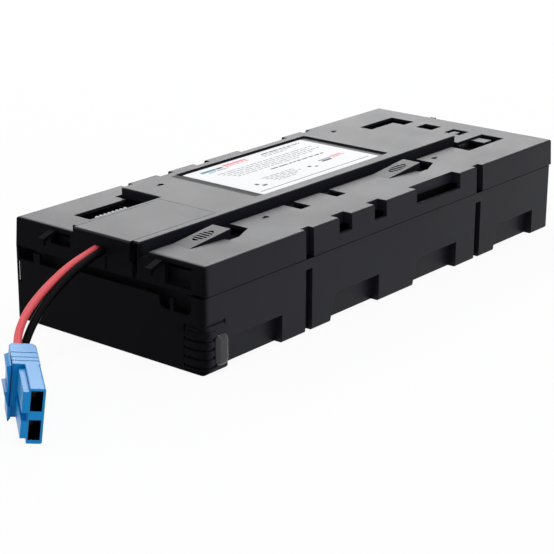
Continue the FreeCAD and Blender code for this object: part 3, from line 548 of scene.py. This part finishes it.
def addPillow():
    mesh = bmesh.new()
    spans = (pillow["x"], pillow["y"], pillow["z"])
    centre = Vector([(low + high) / 2 for low, high in spans])
    size = Vector([high - low for low, high in spans])
    bmesh.ops.create_cube(mesh, size=1.0, matrix=Matrix.Translation(centre) @ Matrix.Diagonal((*size, 1.0)))
    across = [edge for edge in mesh.edges if abs((edge.verts[0].co - edge.verts[1].co).x) > size.x / 2]
    bmesh.ops.bevel(mesh, geom=across, offset=pillow["corner"], segments=pillow["steps"], profile=0.5,
                    affect="EDGES", material=-1)
    outer = [edge for edge in mesh.edges if all(vert.co.x > centre.x for vert in edge.verts)]
    bmesh.ops.bevel(mesh, geom=outer, offset=pillow["radius"], segments=pillow["steps"], profile=0.5,
                    affect="EDGES", material=-1)
    for face in mesh.faces:
        face.smooth = abs(face.normal.x) < pillow["flat"]
    addPiece("gripPillow", mesh, mouldedPlastic("polishedGripPlastic", gripLook))


pegs = {"count": 8, "first": (-0.0314, -0.1930, 0.0792), "pitch": 0.0040,
        "radii": (0.0022, 0.0012, 0.0016), "sides": 12, "rings": 8}


def addPegs():
    mesh = bmesh.new()
    x, y, z = pegs["first"]
    for index in range(pegs["count"]):
        place = Matrix.Translation((x, y + index * pegs["pitch"], z)) @ Matrix.Diagonal((*pegs["radii"], 1.0))
        bmesh.ops.create_uvsphere(mesh, u_segments=pegs["sides"], v_segments=pegs["rings"], radius=1.0,
                                  matrix=place)
    addPiece("railPegs", mesh, mouldedPlastic("pegHighlightPlastic", pegHighlightLook))


gateMarks = {"radius": 0.0021, "height": 0.00006, "sides": 20,
             "places": [(-0.053, -0.1045, 0.0804), (-0.053, 0.1045, 0.0804),
                        (0.047, -0.1045, 0.075), (0.047, 0.1045, 0.075)]}
ovals = {"deck": 0.075, "x": 0.0465, "roots": (-0.194, 0.032), "length": 0.042, "rise": 0.004, "fromTip": 0.019,
         "reach": 0.0198, "width": 0.0088, "depth": 0.0002, "sides": 32}


def addDisc(mesh, place, sides):
    disc = bmesh.ops.create_circle(mesh, cap_ends=True, segments=sides, radius=1.0, matrix=place)
    faces = list({face for vert in disc["verts"] for face in vert.link_faces})
    raised = bmesh.ops.extrude_face_region(mesh, geom=faces)
    return [part for part in raised["geom"] if isinstance(part, bmesh.types.BMVert)]


# painted shade: dark discs over the gate dimples and in the tongues' oval slits
def addMarks():
    mesh = bmesh.new()
    for place in gateMarks["places"]:
        scale = Matrix.Diagonal((gateMarks["radius"], gateMarks["radius"], 1.0, 1.0))
        top = addDisc(mesh, Matrix.Translation(place) @ scale, gateMarks["sides"])
        bmesh.ops.translate(mesh, verts=top, vec=(0, 0, gateMarks["height"]))
    slope = math.atan2(ovals["rise"], ovals["length"])
    for root in ovals["roots"]:
        run = ovals["length"] - ovals["fromTip"]
        height = ovals["deck"] + ovals["rise"] * run / ovals["length"] - ovals["depth"]
        centre = Vector((ovals["x"], root + run, height))
        place = Matrix.Translation(centre) @ Matrix.Rotation(slope, 4, "X")
        top = addDisc(mesh, place @ Matrix.Diagonal((ovals["width"] / 2, ovals["reach"] / 2, 1.0, 1.0)),
                      ovals["sides"])
        bmesh.ops.translate(mesh, verts=top, vec=(0, 0, -ovals["depth"]))
    bmesh.ops.recalc_face_normals(mesh, faces=mesh.faces[:])
    addPiece("mouldMarkShade", mesh, mouldedPlastic("markShadePlastic", markShadeLook))


addPillow()
addPegs()
addMarks()
print("small marks added")


# ---- floor, world and lamps ----
def whiteToLens(tree, plain, white):
    path = tree.nodes.new("ShaderNodeLightPath")
    seen = tree.nodes.new("ShaderNodeMath")
    seen.operation = "MAXIMUM"
    tree.links.new(path.outputs["Is Camera Ray"], seen.inputs[0])
    glossy = tree.nodes.new("ShaderNodeMath")
    glossy.operation = "MAXIMUM"
    tree.links.new(path.outputs["Is Glossy Ray"], glossy.inputs[0])
    tree.links.new(path.outputs["Is Transmission Ray"], glossy.inputs[1])
    tree.links.new(glossy.outputs[0], seen.inputs[1])
    mix = tree.nodes.new("ShaderNodeMixShader")
    tree.links.new(seen.outputs[0], mix.inputs[0])
    tree.links.new(plain.outputs[0], mix.inputs[1])
    tree.links.new(white.outputs[0], mix.inputs[2])
    return mix


def addWorld():
    world = bpy.data.worlds.new("studio")
    bpy.context.scene.world = world
    world.use_nodes = True
    tree = world.node_tree
    tree.nodes.clear()
    plain = tree.nodes.new("ShaderNodeBackground")
    plain.inputs["Color"].default_value = studio["worldColour"]
    plain.inputs["Strength"].default_value = studio["world"]
    white = tree.nodes.new("ShaderNodeBackground")
    white.inputs["Color"].default_value = studio["white"]
    white.inputs["Strength"].default_value = 1.0
    output = tree.nodes.new("ShaderNodeOutputWorld")
    tree.links.new(whiteToLens(tree, plain, white).outputs[0], output.inputs["Surface"])


def addFloor():
    mesh = bmesh.new()
    bmesh.ops.create_grid(mesh, x_segments=1, y_segments=1, size=studio["floor"] / 2)
    data = bpy.data.meshes.new("floor")
    mesh.to_mesh(data)
    mesh.free()
    floor = bpy.data.objects.new("floor", data)
    bpy.context.scene.collection.objects.link(floor)
    material = bpy.data.materials.new("floorPaper")
    material.use_nodes = True
    tree = material.node_tree
    tree.nodes.clear()
    diffuse = tree.nodes.new("ShaderNodeBsdfDiffuse")
    diffuse.inputs["Color"].default_value = studio["floorColour"]
    glow = tree.nodes.new("ShaderNodeEmission")
    glow.inputs["Color"].default_value = studio["white"]
    glow.inputs["Strength"].default_value = 1.0
    half = tree.nodes.new("ShaderNodeMixShader")
    half.inputs[0].default_value = studio["floorGlow"]
    tree.links.new(diffuse.outputs[0], half.inputs[1])
    tree.links.new(glow.outputs[0], half.inputs[2])
    output = tree.nodes.new("ShaderNodeOutputMaterial")
    tree.links.new(whiteToLens(tree, diffuse, half).outputs[0], output.inputs["Surface"])
    data.materials.append(material)


addWorld()
addFloor()
for name, (place, size, power, colour) in studio["lamps"].items():
    addLamp(name, place, size, power, colour)
bpy.context.scene.view_settings.view_transform = "Standard"
print("studio set")

bpy.context.view_layer.update()
